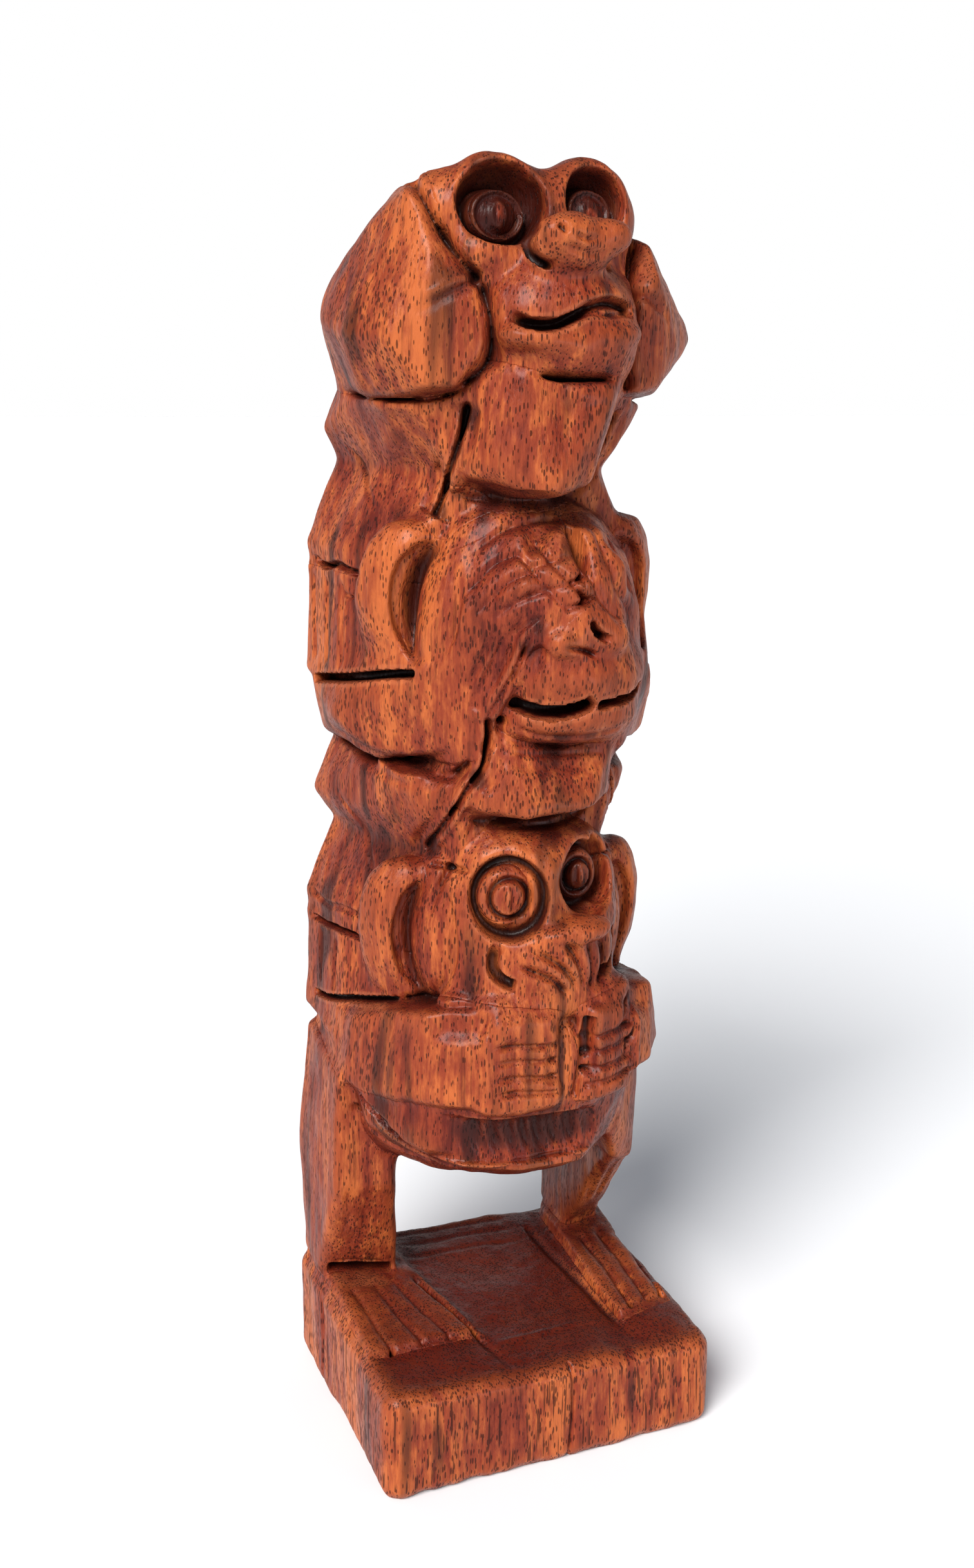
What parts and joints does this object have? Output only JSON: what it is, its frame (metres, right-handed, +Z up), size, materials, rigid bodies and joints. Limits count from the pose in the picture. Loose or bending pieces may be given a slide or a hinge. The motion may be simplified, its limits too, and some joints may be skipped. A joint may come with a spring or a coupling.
{
  "type": "carved wooden monkey totem",
  "caption": "Carved hardwood totem of crouching monkeys stacked one on another on a square plinth, with hands over ears, eyes and mouth.",
  "frame": {"origin": "middle of the plinth's underside", "axes": "+Z up, the monkeys face -Y, their own right hands are on -X"},
  "size_m": [0.0858, 0.0718, 0.3],
  "materials": {
    "face_wood": "oiled coarse-pored hardwood, hand carved, worn light on the high points",
    "limb_wood": "oiled coarse-pored hardwood, knife-cut facets",
    "belly_wood": "oiled coarse-pored hardwood, fluted with a gouge",
    "back_wood": "oiled coarse-pored hardwood, rougher knife facets",
    "eye_wood": "oiled hardwood, darkened in the cuts",
    "plinth_wood": "oiled coarse-pored hardwood with vertical grain, sawn and knife-trimmed"
  },
  "bodies": {
    "root": {"base_plinth": "plinth_wood", "hear_back": "back_wood", "hear_chest": "limb_wood", "hear_head": "face_wood", "hear_left_arm": "limb_wood", "hear_left_eye": "eye_wood", "hear_left_foot": "limb_wood", "hear_left_leg": "limb_wood", "hear_right_arm": "limb_wood", "hear_right_eye": "eye_wood", "hear_right_foot": "limb_wood", "hear_right_leg": "limb_wood", "left_foot": "limb_wood", "left_leg": "limb_wood", "right_foot": "limb_wood", "right_leg": "limb_wood", "see_back": "back_wood", "see_chest": "limb_wood", "see_head": "face_wood", "see_left_arm": "limb_wood", "see_left_ear": "face_wood", "see_left_foot": "limb_wood", "see_left_leg": "limb_wood", "see_right_arm": "limb_wood", "see_right_ear": "face_wood", "see_right_foot": "limb_wood", "see_right_leg": "limb_wood", "speak_back": "back_wood", "speak_belly": "belly_wood", "speak_head": "face_wood", "speak_left_arm": "limb_wood", "speak_left_ear": "face_wood", "speak_left_eye": "eye_wood", "speak_right_arm": "limb_wood", "speak_right_ear": "face_wood", "speak_right_eye": "eye_wood"}
  },
  "joints": []
}
